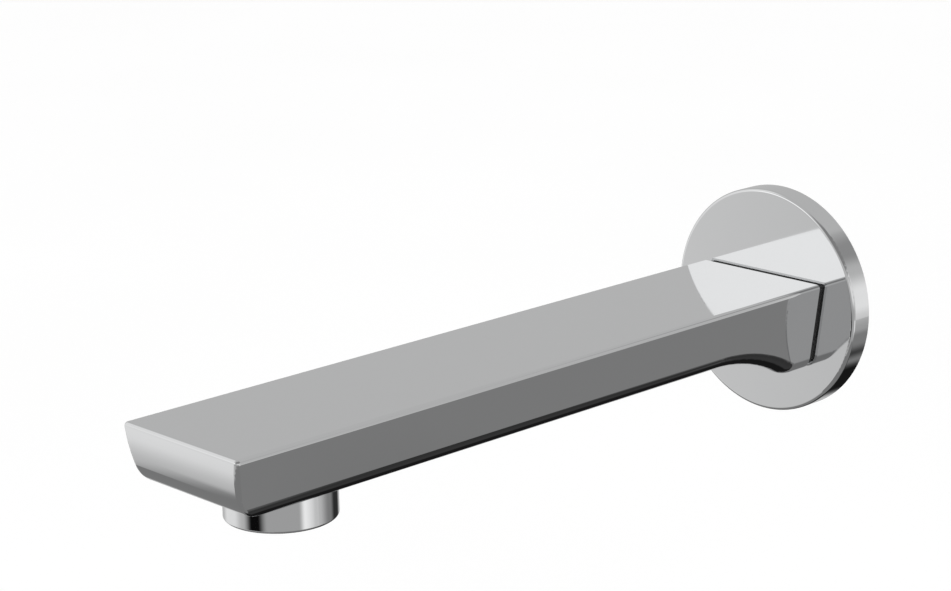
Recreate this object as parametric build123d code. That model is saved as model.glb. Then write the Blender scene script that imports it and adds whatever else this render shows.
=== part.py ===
from build123d import *
import os
from math import cos, pi, radians, sin, sqrt, tan

# A wall-mounted bath spout: a flat hollow bar with drafted sides, held on a round wall flange.
# Millimetres. Origin on the wall plane, in the middle of the inlet. The spout points along -Y,
# +Z is up, and X = 0 is its plane of symmetry.

# Wall flange
flange_diameter = 60.0
flange_thickness = 6.4
flange_front_wall = 2.0
flange_rim_wall = 2.0
flange_edge_round = 0.9
flange_hole_clearance = 0.2

# Spout body, outside
reach = 200.5
top_height = 8.0
bar_thickness = 15.7
root_depth = 23.7
body_width = 40.4
side_draft = 8.7
root_length = 8.2
cove_run = 29.0
root_corner_round = 9.0
tip_lean = 3.0
tip_bottom_round = 7.0
tip_foot_run = 11.3
tip_foot_slope = 6.0
sharp_edge_round = 1.0
low_edge_round = 4.2
end_edge_break = 0.4

# Spout body, inside
body_wall = 2.2
duct_round = 2.5
duct_overlap = 3.0
socket_run_out = 1.0

# Seal between the body and the flange
seal_thickness = 1.1
seal_inset = 0.8

# Inlet adapter
thread_radius = 10.48
thread_length = 12.0
thread_chamfer = 1.2
hex_across_flats = 24.0
hex_thickness = 3.6
stub_radius = 6.3
stub_clearance = 0.1
stub_length = 30.0
stub_chamfer = 0.8
inlet_bore_radius = 4.0

# O-rings on the stub
o_ring_groove_radius = 5.0
o_ring_groove_width = 1.9
o_ring_count = 2
o_ring_pitch = 5.0
o_ring_from_end = 4.5
o_ring_side_room = 0.02

# Grub screw under the root
grub_from_wall_end = 4.4
grub_radius = 2.45
grub_clearance = 0.05
grub_length = 6.0
grub_point_chamfer = 0.6
grub_key_across_flats = 2.5
grub_key_depth = 2.4
grub_groove_depth = 0.8
grub_groove_width = 5.4
grub_tip_gap = 0.05

# Gasket behind the flange
gasket_clearance = 0.2
gasket_inner_radius = 18.0

# Outlet in the body
outlet_from_tip = 27.6
outlet_thread_radius = 12.0
outlet_thread_clearance = 0.05
outlet_thread_depth = 6.4
outlet_boss_wall = 2.0
outlet_shoulder = 1.3
outlet_port_radius = 9.4

# Aerator housing and what it holds
collar_radius = 13.1
collar_drop = 8.3
collar_edge_round = 0.6
housing_thread_length = 4.4
housing_bore_radius = 10.4
housing_lip = 1.2
housing_lip_radius = 9.4
insert_clearance = 0.1
cartridge_flange_radius = 11.5
cartridge_flange = 0.8
cartridge_wall = 1.0
cartridge_floor = 1.2
jet_radius = 0.9
jet_rings = 2
jets_per_ring = 6
jet_ring_step = 3.6
screen_thickness = 0.4
screen_hole_side = 1.3
screen_pitch = 2.4
screen_rings = 3
washer_inner_radius = 9.4
straightener_height = 4.2
straightener_cell = 2.2
straightener_pitch = 2.7
straightener_rings = 3

# Slack for picking edges by their place, and spare length for cutters
edge_margin = 0.01
side_margin = 0.5
spare = 5.0

# Stations and heights worked out from the sizes above
under_height = top_height - bar_thickness
root_height = top_height - root_depth
flange_face = -flange_thickness
body_end = flange_face - seal_thickness
tip = -reach
root_front = body_end - root_length
stub_end = body_end - stub_length
socket_end = stub_end - socket_run_out
socket_radius = stub_radius + stub_clearance
duct_start = socket_end + duct_overlap
o_ring_stations = [stub_end + o_ring_from_end + n * o_ring_pitch for n in range(o_ring_count)]
grub_y = body_end - grub_from_wall_end
outlet_y = tip + outlet_from_tip
collar_foot = under_height - collar_drop
housing_top = under_height + housing_thread_length
cartridge_top = housing_top + cartridge_flange
straightener_top = collar_foot + housing_lip + straightener_height
half_width = body_width / 2
draft_slope = tan(radians(side_draft))


def drafted_prism(inset, high, low, back, front):
    """Bar of trapezoid section, as wide as the body less the inset and narrower below."""
    upper = half_width - inset - (top_height - high) * draft_slope
    lower = half_width - inset - (top_height - low) * draft_slope
    section = Polyline((-upper, high), (upper, high), (lower, low), (-lower, low), close=True)
    plane = Plane(origin=(0, back, 0), x_dir=(1, 0, 0), z_dir=(0, -1, 0))
    return extrude(plane * make_face(section), back - front)


def rod(radius, back, front):
    """Round bar along the inlet axis, from one station to another nearer the tip."""
    return Plane(origin=(0, back, 0), z_dir=(0, -1, 0)) * extrude(Circle(radius), back - front)


def ring_about_inlet(points):
    """Solid turned about the inlet axis from an outline in (radius, y)."""
    return revolve(make_face(Polyline(*points, close=True)), Axis.Y)


def ring_about_outlet(points):
    """Solid turned about the outlet axis from an outline in (radius, z)."""
    outline = Plane.XZ * make_face(Polyline(*points, close=True))
    return Pos(0, outlet_y, 0) * revolve(outline, Axis.Z)


def hole_down(radius, high, low, x=0.0, y=0.0):
    """Cutter along the outlet axis, at a place given from that axis."""
    return Pos(x, outlet_y + y, low) * extrude(Circle(radius), high - low)


def body_outside():
    """Outer form of the body, before its hollows are cut."""
    outline = round_corner(side_profile(), root_front, root_height, root_corner_round)
    section = drafted_prism(0, top_height, root_height, body_end, tip - spare)
    form = extrude(Plane.YZ * outline, body_width, both=True) & section
    form = fillet(form.edges().filter_by(is_low_side_edge), low_edge_round)
    form &= tip_cutter()
    form = fillet(top_rim(form) + tip_side_edges(form), sharp_edge_round)
    wall_face = form.faces().sort_by(Axis.Y)[-1]
    return chamfer(wall_face.edges(), end_edge_break)


def side_profile():
    """Outline of the bar, the cove and the root seen from the side, in (y, z), with spare length."""
    front = tip - spare
    cove_start = (root_front - cove_run, under_height)
    root_toe = (root_front, root_height)
    edges = [
        Line((front, top_height), (front, under_height)),
        Line((front, under_height), cove_start),
        TangentArc(cove_start, root_toe, tangent=(1, 0)),
        Line(root_toe, (body_end, root_height)),
        Line((body_end, root_height), (body_end, top_height)),
        Line((body_end, top_height), (front, top_height)),
    ]
    return make_face(edges)


def tip_cutter():
    """Block whose front is the curved face of the tip, with its round foot."""
    foot = (tip + tip_lean, under_height + tip_foot_run * tan(radians(tip_foot_slope)))
    back_low = (body_end + spare, foot[1] - (body_end + spare - foot[0]) * tan(radians(tip_foot_slope)))
    back_high = (body_end + spare, top_height + spare)
    edges = [
        Line((tip, top_height + spare), (tip, top_height)),
        TangentArc((tip, top_height), foot, tangent=(0, -1)),
        Line(foot, back_low),
        Line(back_low, back_high),
        Line(back_high, (tip, top_height + spare)),
    ]
    outline = round_corner(make_face(edges), *foot, tip_bottom_round)
    return extrude(Plane.YZ * outline, body_width, both=True)


def round_corner(face, y, z, radius):
    """Rounds the corner of a side profile that lies nearest to (y, z)."""
    corner = face.vertices().sort_by_distance((y, z, 0))[0]
    return fillet(corner, radius)


def is_low_side_edge(edge):
    """True for an edge of a side face that lies below the top face and between the two ends."""
    middle = edge.center()
    side = half_width - (top_height - middle.Z) * draft_slope
    on_side = abs(middle.X) > side - side_margin
    below_top = middle.Z < top_height - edge_margin
    off_ends = tip - spare + edge_margin < middle.Y < body_end - edge_margin
    return on_side and below_top and off_ends


def top_rim(form):
    """Edges of the top face, without the one at the wall."""
    top_face = form.faces().sort_by(Axis.Z)[-1]
    return top_face.edges().filter_by(lambda edge: edge.center().Y < body_end - edge_margin)


def tip_side_edges(form):
    """The two long edges between the tip's face and the sides."""
    near_tip = form.edges().filter_by(lambda edge: edge.center().Y < tip + tip_lean)
    upright = near_tip.filter_by(lambda edge: abs(edge.center().X) > half_width / 2)
    return upright.sort_by(SortBy.LENGTH)[-2:]


def water_duct():
    """Flat passage that runs from the socket to the outlet inside the bar."""
    high = top_height - body_wall
    low = under_height + body_wall
    front = tip + tip_lean + body_wall
    duct = drafted_prism(body_wall / cos(radians(side_draft)), high, low, duct_start, front)
    return fillet(duct.edges(), duct_round)


def spout_body():
    """Cast body: the bar with its root, its water passage, the socket and the outlet boss."""
    boss_top = under_height + outlet_thread_depth + outlet_shoulder
    boss = hole_down(outlet_thread_radius + outlet_boss_wall, boss_top, under_height + body_wall / 2)
    body = body_outside() - water_duct() + boss
    body -= rod(socket_radius, body_end, socket_end)
    body -= hole_down(outlet_thread_radius, under_height + outlet_thread_depth, under_height)
    body -= hole_down(outlet_port_radius, boss_top, under_height)
    body -= Pos(0, grub_y, root_height) * extrude(Circle(grub_radius + grub_clearance), -root_height)
    return body


def wall_flange():
    """Cup-shaped cover disc with a round front edge and a hole for the stub."""
    radius = flange_diameter / 2
    hole = stub_radius + flange_hole_clearance
    inside = radius - flange_rim_wall
    plate_back = flange_face + flange_front_wall
    outline = [
        (hole, flange_face),
        (radius, flange_face),
        (radius, 0),
        (inside, 0),
        (inside, plate_back),
        (hole, plate_back),
    ]
    disc = ring_about_inlet(outline)
    front_circles = disc.edges().filter_by(GeomType.CIRCLE).group_by(Axis.Y)[0]
    return fillet(front_circles.sort_by(SortBy.RADIUS)[-1], flange_edge_round)


def flange_gasket():
    """Soft ring that fills the back of the flange and meets the wall."""
    outer = flange_diameter / 2 - flange_rim_wall - gasket_clearance
    front = flange_face + flange_front_wall
    return ring_about_inlet(
        [(gasket_inner_radius, front), (outer, front), (outer, 0), (gasket_inner_radius, 0)]
    )


def body_seal():
    """Thin seal between the body's end and the flange, set back from the body's outline."""
    high = top_height - seal_inset
    low = root_height + seal_inset
    seal = drafted_prism(seal_inset, high, low, flange_face, body_end)
    along = seal.edges().filter_by(Axis.Y)
    seal = fillet(along.sort_by(Axis.Z)[2:], sharp_edge_round - seal_inset)
    along = seal.edges().filter_by(Axis.Y)
    seal = fillet(along.sort_by(Axis.Z)[:2], low_edge_round - seal_inset)
    return seal - rod(stub_radius + flange_hole_clearance, flange_face, body_end)


def inlet_adapter():
    """Nipple with a pipe thread for the wall, a hexagon to turn it and a stub for the body."""
    thread = ring_about_inlet(
        [
            (0, 0),
            (thread_radius, 0),
            (thread_radius, thread_length - thread_chamfer),
            (thread_radius - thread_chamfer, thread_length),
            (0, thread_length),
        ]
    )
    hexagon = RegularPolygon(hex_across_flats / 2, 6, major_radius=False)
    nut = Plane(origin=(0, 0, 0), z_dir=(0, -1, 0)) * extrude(hexagon, hex_thickness)
    stub = rod(stub_radius, -hex_thickness, stub_end)
    stub = chamfer(stub.edges().sort_by(Axis.Y)[:1], stub_chamfer)
    adapter = thread + nut + stub
    adapter -= groove(grub_y, grub_groove_width, stub_radius - grub_groove_depth)
    for y in o_ring_stations:
        adapter -= groove(y, o_ring_groove_width, o_ring_groove_radius)
    return adapter - rod(inlet_bore_radius, thread_length, stub_end)


def groove(y, width, bottom_radius):
    """Cutter for a square groove round the stub."""
    outer = stub_radius + 1
    back = y + width / 2
    front = y - width / 2
    return rod(outer, back, front) - rod(bottom_radius, back, front)


def adapter_o_rings():
    """Rings that seal the stub in the body's socket, one in each groove."""
    middle = (socket_radius + o_ring_groove_radius) / 2
    section = (socket_radius - o_ring_groove_radius) / 2 - o_ring_side_room
    rings = []
    for y in o_ring_stations:
        circle = Pos(middle, y) * Circle(section)
        rings.append(revolve(circle, Axis.Y))
    return Compound(children=rings)


def grub_screw():
    """Socket set screw that holds the body on the stub."""
    top = -(stub_radius - grub_groove_depth) - grub_tip_gap
    foot = top - grub_length
    screw = Pos(0, grub_y, foot) * extrude(Circle(grub_radius), grub_length)
    screw = chamfer(screw.edges().sort_by(Axis.Z)[-1:], grub_point_chamfer)
    key = RegularPolygon(grub_key_across_flats / 2, 6, major_radius=False)
    return screw - Pos(0, grub_y, foot) * extrude(key, grub_key_depth)


def aerator_housing():
    """Round collar under the tip, with a threaded neck above and a lip that holds the insert."""
    neck = outlet_thread_radius - outlet_thread_clearance
    outline = [
        (housing_lip_radius, collar_foot),
        (collar_radius, collar_foot),
        (collar_radius, under_height),
        (neck, under_height),
        (neck, housing_top),
        (housing_bore_radius, housing_top),
        (housing_bore_radius, collar_foot + housing_lip),
        (housing_lip_radius, collar_foot + housing_lip),
    ]
    housing = ring_about_outlet(outline)
    foot_circles = housing.edges().filter_by(GeomType.CIRCLE).group_by(Axis.Z)[0]
    return fillet(foot_circles.sort_by(SortBy.RADIUS)[-1], collar_edge_round)


def aerator_cartridge():
    """Plastic cup that hangs on the housing's top and breaks the water into jets."""
    outer = housing_bore_radius - insert_clearance
    inner = outer - cartridge_wall
    floor_low = cartridge_top - cartridge_floor
    outline = [
        (0, cartridge_top),
        (cartridge_flange_radius, cartridge_top),
        (cartridge_flange_radius, housing_top),
        (outer, housing_top),
        (outer, straightener_top),
        (inner, straightener_top),
        (inner, floor_low),
        (0, floor_low),
    ]
    cup = ring_about_outlet(outline)
    for ring in range(1, jet_rings + 1):
        for x, y in circle_of_places(ring * jet_ring_step, jets_per_ring * ring):
            cup -= hole_down(jet_radius, cartridge_top, floor_low, x, y)
    return cup


def circle_of_places(radius, count):
    """Evenly spaced places on a circle."""
    step = 2 * pi / count
    return [(radius * cos(n * step), radius * sin(n * step)) for n in range(count)]


def aerator_screen():
    """Perforated disc that keeps grit out of the cartridge."""
    disc = hole_down(washer_inner_radius - insert_clearance, cartridge_top + screen_thickness, cartridge_top)
    opening = Rectangle(screen_hole_side, screen_hole_side)
    for x, y in honeycomb(screen_rings, screen_pitch):
        disc -= Pos(x, outlet_y + y, cartridge_top) * extrude(opening, screen_thickness)
    return disc


def honeycomb(rings, pitch):
    """Places of a hexagonal pattern, from its centre out to the given ring."""
    places = []
    for row in range(-rings, rings + 1):
        for column in range(-rings, rings + 1):
            if abs(row + column) <= rings:
                places.append((pitch * (column + row / 2), pitch * row * sqrt(3) / 2))
    return places


def flow_straightener():
    """Honeycomb disc at the mouth, which lies on the housing's lip."""
    low = collar_foot + housing_lip
    disc = hole_down(housing_bore_radius - insert_clearance, straightener_top, low)
    cell = Rotation(0, 0, 30) * RegularPolygon(straightener_cell / 2, 6, major_radius=False)
    for x, y in honeycomb(straightener_rings, straightener_pitch):
        disc -= Pos(x, outlet_y + y, low) * extrude(cell, straightener_height)
    return disc


def aerator_washer():
    """Flat rubber ring between the cartridge and the shoulder in the body."""
    shoulder = under_height + outlet_thread_depth
    return ring_about_outlet(
        [
            (washer_inner_radius, cartridge_top),
            (cartridge_flange_radius, cartridge_top),
            (cartridge_flange_radius, shoulder),
            (washer_inner_radius, shoulder),
        ]
    )


def main():
    """Writes one file for each piece of the spout."""
    pieces = {
        "spout_body": spout_body,
        "wall_flange": wall_flange,
        "flange_gasket": flange_gasket,
        "body_seal": body_seal,
        "inlet_adapter": inlet_adapter,
        "adapter_o_rings": adapter_o_rings,
        "grub_screw": grub_screw,
        "aerator_housing": aerator_housing,
        "aerator_cartridge": aerator_cartridge,
        "aerator_screen": aerator_screen,
        "flow_straightener": flow_straightener,
        "aerator_washer": aerator_washer,
    }
    os.makedirs("parts", exist_ok=True)
    for name, make in pieces.items():
        export_step(make(), f"parts/{name}.step")


main()
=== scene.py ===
"""A wall-mounted bath spout in mirror chrome, in metres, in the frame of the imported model.

The wall is the plane Y = 0, the spout points along -Y, +Z is up and +X is the side that faces
the camera.
"""

from math import cos, pi, radians, sin, tau

import bmesh
import bpy
from mathutils import Matrix, Vector

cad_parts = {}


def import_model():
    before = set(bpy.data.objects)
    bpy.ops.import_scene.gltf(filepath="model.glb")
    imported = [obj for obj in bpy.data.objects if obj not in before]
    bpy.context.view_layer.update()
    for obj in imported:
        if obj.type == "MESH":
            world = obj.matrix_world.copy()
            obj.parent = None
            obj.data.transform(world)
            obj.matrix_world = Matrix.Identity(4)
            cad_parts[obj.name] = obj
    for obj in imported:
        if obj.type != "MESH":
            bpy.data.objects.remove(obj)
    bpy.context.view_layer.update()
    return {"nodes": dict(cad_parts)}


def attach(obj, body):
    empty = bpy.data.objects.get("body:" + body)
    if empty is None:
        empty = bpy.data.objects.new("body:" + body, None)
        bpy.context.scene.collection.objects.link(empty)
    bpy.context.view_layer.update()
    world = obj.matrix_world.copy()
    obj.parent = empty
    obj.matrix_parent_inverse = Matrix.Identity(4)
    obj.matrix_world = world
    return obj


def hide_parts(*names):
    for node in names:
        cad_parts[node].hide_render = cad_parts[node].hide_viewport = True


MM = 0.001
WHITE = (1, 1, 1, 1)

# Camera, as fitted to the photograph
SENSOR_WIDTH = 36.0
LENS = 98.42
CAMERA_AZIMUTH = radians(46.549)
CAMERA_ELEVATION = radians(15.222)
CAMERA_ROLL = radians(-1.088)
CAMERA_DISTANCE = 689.4 * MM
AIM_POINT = Vector((0, -6.4, 0)) * MM
AIM_SIDEWAYS = -76.4 * MM
AIM_UP = 2.7 * MM
CLIP_NEAR = 0.01
CLIP_FAR = 50

# Surroundings that the chrome mirrors: soft-edged cards on a sphere round the spout, in degrees.
# Azimuth 0 is straight in front of the tip, 90 is the +X side and 180 is behind the wall.
HALF_TURN = 180
TENT_LEVEL = 0.52
CARDS = [
    # name, azimuth from and to, its edge, elevation from and to, its edge, level
    ("white_wall", -92, -43, 26, -27.5, 60, 12, 0.84),
    ("bright_corner", -49, -14, 18, 4, 30, 12, 1.12),
    ("right_wall", 0, 98, 12, -80, -2, 18, 0.40),
    ("right_back", 112, 185, 24, -95, -16.5, 7, 0.226),
    ("strip", 92.5, 122.5, 15, -26.5, -15.5, 8, 1.01),
    ("strip_end", 112, 142, 36, -24, -15.5, 4, 0.63),
    ("window", 138.7, 160, 2, -13, 9, 13, 0.89),
    ("side_glow", 44, 120, 12, -3, 15, 12, 0.82),
    ("ceiling", 5, 128, 20, 23, 70, 12, 0.24),
    ("upper_back", 145, 164, 6, 18, 36, 10, 0.30),
    ("back_low", 172, 205, 16, -36, -6, 14, 0.03),
    ("low_front", -130, 122, 30, -95, -33, 4, 0.21),
    ("low_side", 138, 161, 9, -60, -33, 6, 0.035),
    ("low_middle", 150, 172, 6, -95, -40, 4, 0.04),
    ("low_back", 169, 234, 10, -95, -34, 8, 0.01),
    ("dark_gap", -20.5, 14, 20, -26, -13, 7, 0.004),
]

# Plain light from all round and from the soft lamp: together they light a level surface at 1
SKY_LEVEL = 0.72
LAMP_LEVEL = 0.28
LAMP_SPREAD = radians(9)
LAMP_DIRECTION = Vector((-0.45, -0.51, 0.73)).normalized()

# Floor far below the spout, which is fixed to a wall. Cameras see it lifted to white.
FLOOR_HEIGHT = -0.45
FLOOR_HALF = 6.0
FLOOR_ROUGHNESS = 0.9
FLOOR_LIFT = 0.035

# The two colours that the noise in each material blends
CHROME_COLORS = ((0.795, 0.80, 0.805), (0.805, 0.81, 0.815))
BRASS_COLORS = ((0.74, 0.58, 0.32), (0.64, 0.48, 0.24))
STEEL_COLORS = ((0.56, 0.56, 0.57), (0.64, 0.64, 0.64))
RUBBER_COLORS = ((0.025, 0.025, 0.025), (0.04, 0.04, 0.04))
FOAM_COLORS = ((0.07, 0.07, 0.07), (0.13, 0.13, 0.13))
PLASTIC_COLORS = ((0.80, 0.80, 0.78), (0.84, 0.84, 0.82))
FLOOR_COLORS = ((0.97, 0.97, 0.97), (0.99, 0.99, 0.99))

# Nearly all the values of a noise lie between these two
NOISE_LOW = 0.3
NOISE_HIGH = 0.7

# Inlet adapter as drawn in the CAD model, in mm, with the real form of its G 1/2 thread.
# Stations count along Y from the wall, and a groove is its bottom radius and its width.
COLUMNS = 144
SHARP_ANGLE = radians(32)
BORE_RADIUS = 4.0
STUB_RADIUS = 6.3
STUB_END = -37.5
STUB_CHAMFER = 0.8
O_RING_STATIONS = (-33.0, -28.0)
O_RING_GROOVE = (5.0, 1.9)
GRUB_STATION = -11.9
GRUB_GROOVE = (5.5, 5.4)
HEX_FRONT = -3.6
HEX_BACK = 0.0
HEX_ACROSS_FLATS = 24.0
HEX_CHAMFER_LENGTH = 0.5
HEX_CHAMFER_DEPTH = 1.5
THREAD_MAJOR = 10.48
THREAD_DEPTH = 1.162
THREAD_PITCH = 1.814
THREAD_FLAT = 0.14
THREAD_ROUNDING = 0.35
THREAD_END = 12.0
THREAD_CHAMFER = 1.2
THREAD_NECK = 1.0
THREAD_STEP = 0.12


def feed(tree, value, socket):
    """Sets a number on a socket, or links another socket to it."""
    if isinstance(value, (int, float)):
        socket.default_value = value
    else:
        tree.links.new(value, socket)


def math_node(tree, operation, *values):
    """Result of a math node on sockets or numbers."""
    node = tree.nodes.new("ShaderNodeMath")
    node.operation = operation
    for place, value in enumerate(values):
        feed(tree, value, node.inputs[place])
    return node.outputs[0]


def new_material(name):
    """Node material with its node tree and its Principled shader."""
    material = bpy.data.materials.new(name)
    material.use_nodes = True
    return material, material.node_tree, material.node_tree.nodes["Principled BSDF"]


def noise(tree, grain_mm, detail, stretch=(1, 1, 1)):
    """Noise on the piece whose lumps are about as wide as the given grain."""
    place = tree.nodes.new("ShaderNodeTexCoord").outputs["Object"]
    spread = tree.nodes.new("ShaderNodeMapping")
    spread.inputs["Scale"].default_value = stretch
    tree.links.new(place, spread.inputs["Vector"])
    node = tree.nodes.new("ShaderNodeTexNoise")
    node.inputs["Scale"].default_value = 1 / (grain_mm * MM)
    node.inputs["Detail"].default_value = detail
    tree.links.new(spread.outputs[0], node.inputs["Vector"])
    return node.outputs["Fac"]


def ramp(tree, value, low, high):
    """Spreads a noise over the range from low to high."""
    node = tree.nodes.new("ShaderNodeMapRange")
    tree.links.new(value, node.inputs["Value"])
    node.inputs["From Min"].default_value = NOISE_LOW
    node.inputs["From Max"].default_value = NOISE_HIGH
    node.inputs["To Min"].default_value = low
    node.inputs["To Max"].default_value = high
    return node.outputs["Result"]


def blend_colors(tree, value, colors):
    """Colour that goes from the first to the second as the value goes from 0 to 1."""
    first, second = colors
    node = tree.nodes.new("ShaderNodeMix")
    node.data_type = "RGBA"
    tree.links.new(value, node.inputs["Factor"])
    node.inputs["A"].default_value = (*first, 1)
    node.inputs["B"].default_value = (*second, 1)
    return node.outputs["Result"]


def set_surface(tree, shader, color, roughness, metallic=0):
    """Gives a shader its colour and roughness, and says whether it is metal."""
    tree.links.new(color, shader.inputs["Base Color"])
    tree.links.new(roughness, shader.inputs["Roughness"])
    shader.inputs["Metallic"].default_value = metallic


def raise_surface(tree, shader, height, depth_mm):
    """Bump of the given depth."""
    node = tree.nodes.new("ShaderNodeBump")
    node.inputs["Distance"].default_value = depth_mm * MM
    tree.links.new(height, node.inputs["Height"])
    tree.links.new(node.outputs[0], shader.inputs["Normal"])


def chrome(name):
    """Mirror chrome plating, with a faint waviness from polishing and a slight haze."""
    material, tree, shader = new_material(name)
    color = blend_colors(tree, noise(tree, grain_mm=9, detail=3), CHROME_COLORS)
    haze = ramp(tree, noise(tree, grain_mm=6, detail=4), low=0.035, high=0.06)
    set_surface(tree, shader, color, haze, metallic=1)
    raise_surface(tree, shader, noise(tree, grain_mm=7, detail=1), depth_mm=0.002)
    return material


def brass(name):
    """Bare brass with the fine rings that turning leaves."""
    material, tree, shader = new_material(name)
    tarnish = noise(tree, grain_mm=5, detail=4)
    color = blend_colors(tree, tarnish, BRASS_COLORS)
    set_surface(tree, shader, color, ramp(tree, tarnish, low=0.24, high=0.38), metallic=1)
    rings = noise(tree, grain_mm=1.2, detail=2, stretch=(0.15, 6, 0.15))
    raise_surface(tree, shader, rings, depth_mm=0.01)
    return material


def steel(name):
    """Stainless steel with short brush marks."""
    material, tree, shader = new_material(name)
    marks = noise(tree, grain_mm=0.8, detail=3, stretch=(4, 1, 1))
    color = blend_colors(tree, marks, STEEL_COLORS)
    set_surface(tree, shader, color, ramp(tree, marks, low=0.28, high=0.42), metallic=1)
    raise_surface(tree, shader, marks, depth_mm=0.004)
    return material


def rubber(name, colors, grain_mm, depth_mm):
    """Matt rubber or foam with its surface grain."""
    material, tree, shader = new_material(name)
    grain = noise(tree, grain_mm, detail=3)
    rough = ramp(tree, noise(tree, grain_mm=4, detail=3), low=0.55, high=0.75)
    set_surface(tree, shader, blend_colors(tree, grain, colors), rough)
    raise_surface(tree, shader, grain, depth_mm)
    return material


def plastic(name):
    """Moulded off-white plastic."""
    material, tree, shader = new_material(name)
    grain = noise(tree, grain_mm=0.5, detail=3)
    color = blend_colors(tree, noise(tree, grain_mm=5, detail=2), PLASTIC_COLORS)
    set_surface(tree, shader, color, ramp(tree, grain, low=0.38, high=0.5))
    raise_surface(tree, shader, grain, depth_mm=0.004)
    return material


def dress(frame):
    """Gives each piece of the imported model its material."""
    mirror = chrome("chrome")
    black = rubber("black_rubber", RUBBER_COLORS, grain_mm=0.4, depth_mm=0.01)
    foam = rubber("foam", FOAM_COLORS, grain_mm=0.6, depth_mm=0.08)
    inox = steel("stainless_steel")
    white = plastic("white_plastic")
    looks = {
        "spout_body": (mirror, "body_chrome"),
        "wall_flange": (mirror, "flange_chrome"),
        "aerator_housing": (mirror, "collar_chrome"),
        "flange_gasket": (foam, "gasket_foam"),
        # Black rubber seal where the body meets the flange. It also stands in for the shade in the gap
        # between them: painted shade.
        "body_seal": (black, "seal_rubber"),
        "adapter_o_rings": (black, "o_ring_rubber"),
        "aerator_washer": (black, "washer_rubber"),
        "grub_screw": (inox, "screw_steel"),
        "aerator_screen": (inox, "screen_steel"),
        "aerator_cartridge": (white, "insert_plastic"),
        "flow_straightener": (white, "insert_plastic"),
    }
    for name, (material, slot) in looks.items():
        piece = frame["nodes"][name]
        piece.data.materials.clear()
        piece.data.materials.append(material)


def clamp(value):
    """The value, kept between 0 and 1."""
    return min(1.0, max(0.0, value))


def hexagon(chamfer):
    """Radius of the hexagon at an angle, with its corners cut down by the chamfer."""
    flat = HEX_ACROSS_FLATS / 2
    limit = flat / cos(pi / 6) - chamfer

    def radius(angle):
        from_flat = (angle + pi / 3) % (pi / 3) - pi / 6
        return min(flat / cos(from_flat), limit)

    return radius


def thread_radius(y):
    """Radius of the pipe thread at a station, which depends on the angle as the thread winds."""
    limit = THREAD_MAJOR - max(0.0, y - (THREAD_END - THREAD_CHAMFER))
    start = clamp((y - THREAD_NECK) / THREAD_PITCH)

    def radius(angle):
        phase = (y / THREAD_PITCH - angle / tau) % 1.0
        wave = abs(phase - 0.5) * 2
        flank = clamp((wave - THREAD_FLAT) / (1 - 2 * THREAD_FLAT))
        rounded = flank * flank * (3 - 2 * flank)
        height = flank + (rounded - flank) * THREAD_ROUNDING
        return min(THREAD_MAJOR - THREAD_DEPTH * (1 - height * start), limit)

    return radius


def thread_rows():
    """Stations and radii along the pipe thread."""
    length = THREAD_END - THREAD_NECK
    count = round(length / THREAD_STEP)
    stations = [THREAD_NECK + length * step / count for step in range(count + 1)]
    return [(y, thread_radius(y)) for y in stations]


def groove_rows(y, bottom, width):
    """Rows of a square groove in the stub, from its front edge to its back edge."""
    front = y - width / 2
    back = y + width / 2
    return [(front, STUB_RADIUS), (front, bottom), (back, bottom), (back, STUB_RADIUS)]


def adapter_rows():
    """Stations and radii of the adapter's skin, from the bore's mouth in the stub to its other end."""
    rows = [
        (STUB_END, BORE_RADIUS),
        (STUB_END, STUB_RADIUS - STUB_CHAMFER),
        (STUB_END + STUB_CHAMFER, STUB_RADIUS),
    ]
    for station in O_RING_STATIONS:
        rows += groove_rows(station, *O_RING_GROOVE)
    rows += groove_rows(GRUB_STATION, *GRUB_GROOVE)
    rows += [
        (HEX_FRONT, STUB_RADIUS),
        (HEX_FRONT, hexagon(HEX_CHAMFER_DEPTH)),
        (HEX_FRONT + HEX_CHAMFER_LENGTH, hexagon(0)),
        (HEX_BACK, hexagon(0)),
        (HEX_BACK, THREAD_MAJOR - THREAD_DEPTH),
    ]
    rows += thread_rows()
    rows.append((THREAD_END, BORE_RADIUS))
    return rows


def ring(y, radius):
    """Points round the inlet axis at a station, where the radius may depend on the angle."""
    points = []
    for column in range(COLUMNS):
        angle = tau * column / COLUMNS
        reach = radius(angle) if callable(radius) else radius
        points.append(Vector((reach * sin(angle), y, reach * cos(angle))) * MM)
    return points


def adapter_mesh(name):
    """One closed skin through all the rows, which ends where it began."""
    shape = bmesh.new()
    rings = []
    for y, radius in adapter_rows():
        rings.append([shape.verts.new(point) for point in ring(y, radius)])
    for first, second in zip(rings, rings[1:] + rings[:1]):
        for column in range(COLUMNS):
            after = (column + 1) % COLUMNS
            shape.faces.new((first[column], first[after], second[after], second[column]))
    bmesh.ops.recalc_face_normals(shape, faces=shape.faces)
    mesh = bpy.data.meshes.new(name)
    shape.to_mesh(mesh)
    shape.free()
    mesh.polygons.foreach_set("use_smooth", [True] * len(mesh.polygons))
    mesh.set_sharp_from_angle(angle=SHARP_ANGLE)
    return mesh


def add_adapter():
    """Inlet adapter with its pipe thread."""
    mesh = adapter_mesh("threaded_adapter")
    mesh.materials.append(brass("brass"))
    piece = bpy.data.objects.new("threaded_adapter", mesh)
    bpy.context.scene.collection.objects.link(piece)
    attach(piece, "root")
    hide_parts("inlet_adapter")


def floor_material():
    """Matt white, with a little light of its own that only the camera sees."""
    material, tree, shader = new_material("floor")
    tone = blend_colors(tree, noise(tree, grain_mm=400, detail=2), FLOOR_COLORS)
    tree.links.new(tone, shader.inputs["Base Color"])
    shader.inputs["Roughness"].default_value = FLOOR_ROUGHNESS
    shader.inputs["Emission Color"].default_value = WHITE
    seen = tree.nodes.new("ShaderNodeLightPath").outputs["Is Camera Ray"]
    lift = math_node(tree, "MULTIPLY", seen, FLOOR_LIFT)
    tree.links.new(lift, shader.inputs["Emission Strength"])
    return material


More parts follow.
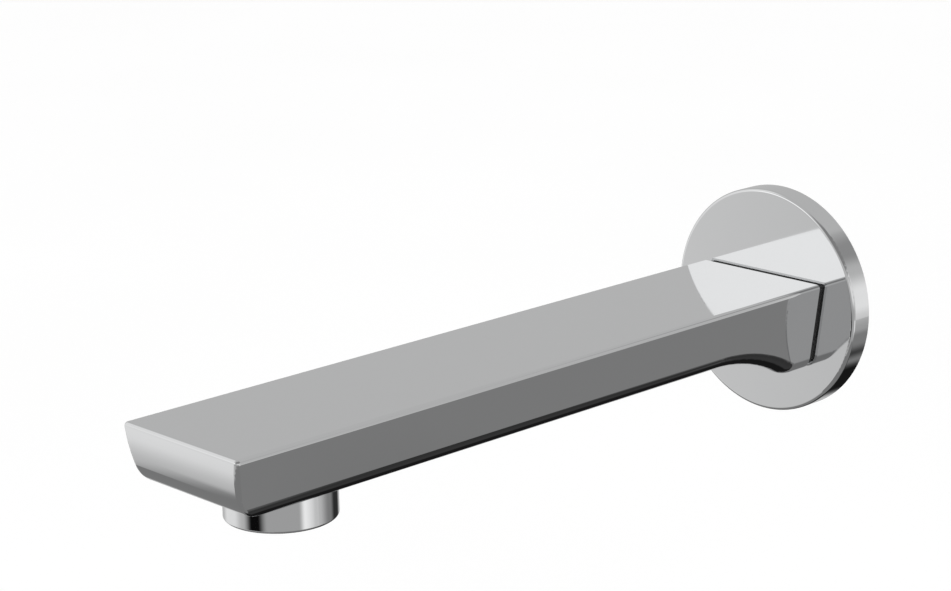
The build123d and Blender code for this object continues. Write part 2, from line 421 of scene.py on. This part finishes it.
def add_floor():
    """Plain white floor, which the chrome doesn't mirror."""
    mesh = bpy.data.meshes.new("floor")
    corners = [(-1, -1), (1, -1), (1, 1), (-1, 1)]
    points = [(x * FLOOR_HALF, y * FLOOR_HALF, FLOOR_HEIGHT) for x, y in corners]
    mesh.from_pydata(points, [], [(0, 1, 2, 3)])
    mesh.materials.append(floor_material())
    floor = bpy.data.objects.new("floor", mesh)
    floor.visible_glossy = False
    bpy.context.scene.collection.objects.link(floor)


def add_lamp():
    """Distant soft lamp above and to the left, which the chrome doesn't mirror."""
    data = bpy.data.lights.new("lamp", "SUN")
    data.angle = LAMP_SPREAD
    data.energy = LAMP_LEVEL * pi / LAMP_DIRECTION.z
    lamp = bpy.data.objects.new("lamp", data)
    lamp.rotation_euler = (-LAMP_DIRECTION).to_track_quat("-Z", "Y").to_euler()
    lamp.visible_glossy = False
    bpy.context.scene.collection.objects.link(lamp)


def soft_step(tree, value, low, high):
    """Rises smoothly from 0 at low to 1 at high."""
    node = tree.nodes.new("ShaderNodeMapRange")
    node.interpolation_type = "SMOOTHSTEP"
    tree.links.new(value, node.inputs["Value"])
    node.inputs["From Min"].default_value = low
    node.inputs["From Max"].default_value = high
    return node.outputs["Result"]


def soft_band(tree, value, low, high, edge):
    """1 between low and high, with edges that fade over the given width."""
    rise = soft_step(tree, value, low - edge / 2, low + edge / 2)
    fall = soft_step(tree, value, high + edge / 2, high - edge / 2)
    return math_node(tree, "MULTIPLY", rise, fall)


def directions(tree):
    """Azimuth and elevation in degrees of the direction that a ray takes into the surroundings."""
    split = tree.nodes.new("ShaderNodeSeparateXYZ")
    tree.links.new(tree.nodes.new("ShaderNodeTexCoord").outputs["Generated"], split.inputs[0])
    x, y, z = split.outputs
    forward = math_node(tree, "MULTIPLY", y, -1)
    azimuth = math_node(tree, "DEGREES", math_node(tree, "ARCTAN2", x, forward))
    elevation = math_node(tree, "DEGREES", math_node(tree, "ARCSINE", z))
    return azimuth, elevation


def card_tent(tree):
    """Brightness of the tent in every direction, card over card."""
    azimuth, elevation = directions(tree)
    level = TENT_LEVEL
    for name, left, right, side_edge, low, high, top_edge, shade in CARDS:
        half = (right - left) / 2
        turned = math_node(tree, "SUBTRACT", azimuth, (left + right) / 2)
        turned = math_node(tree, "WRAP", turned, HALF_TURN, -HALF_TURN)
        across = soft_band(tree, turned, -half, half, side_edge)
        upright = soft_band(tree, elevation, low, high, top_edge)
        card = tree.nodes.new("ShaderNodeMix")
        card.label = name
        feed(tree, math_node(tree, "MULTIPLY", across, upright), card.inputs["Factor"])
        feed(tree, level, card.inputs["A"])
        feed(tree, shade, card.inputs["B"])
        level = card.outputs["Result"]
    return level


def background(tree, strength):
    """White background shader of the given strength."""
    node = tree.nodes.new("ShaderNodeBackground")
    node.inputs["Color"].default_value = WHITE
    tree.links.new(strength, node.inputs["Strength"])
    return node.outputs[0]


def add_world():
    """White to the camera, plain light for matt surfaces, and the card tent for mirrors."""
    world = bpy.data.worlds.new("studio")
    bpy.context.scene.world = world
    world.use_nodes = True
    tree = world.node_tree
    tree.nodes.clear()
    path = tree.nodes.new("ShaderNodeLightPath")
    camera_only = math_node(tree, "MULTIPLY", path.outputs["Is Camera Ray"], 1 - SKY_LEVEL)
    sky = background(tree, math_node(tree, "ADD", camera_only, SKY_LEVEL))
    tent = background(tree, card_tent(tree))
    mix = tree.nodes.new("ShaderNodeMixShader")
    tree.links.new(path.outputs["Is Glossy Ray"], mix.inputs[0])
    tree.links.new(sky, mix.inputs[1])
    tree.links.new(tent, mix.inputs[2])
    out = tree.nodes.new("ShaderNodeOutputWorld")
    tree.links.new(mix.outputs[0], out.inputs[0])


def add_camera():
    """Long-lens camera in front of the tip, a little above the spout."""
    level = Vector((cos(CAMERA_AZIMUTH), sin(CAMERA_AZIMUTH), 0))
    forward = Vector((sin(CAMERA_AZIMUTH), -cos(CAMERA_AZIMUTH), 0))
    back = forward * cos(CAMERA_ELEVATION) + Vector((0, 0, sin(CAMERA_ELEVATION)))
    above = back.cross(level)
    target = AIM_POINT + level * AIM_SIDEWAYS + above * AIM_UP
    right = level * cos(CAMERA_ROLL) + above * sin(CAMERA_ROLL)
    up = above * cos(CAMERA_ROLL) - level * sin(CAMERA_ROLL)
    data = bpy.data.cameras.new("camera")
    data.sensor_width = SENSOR_WIDTH
    data.lens = LENS
    data.clip_start = CLIP_NEAR
    data.clip_end = CLIP_FAR
    camera = bpy.data.objects.new("camera", data)
    turn = Matrix((right, up, back)).transposed()
    camera.matrix_world = Matrix.Translation(target + back * CAMERA_DISTANCE) @ turn.to_4x4()
    bpy.context.scene.collection.objects.link(camera)
    bpy.context.scene.camera = camera


def main():
    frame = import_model()
    dress(frame)
    add_adapter()
    add_floor()
    add_lamp()
    add_world()
    add_camera()
    bpy.context.scene.view_settings.view_transform = "Standard"


main()
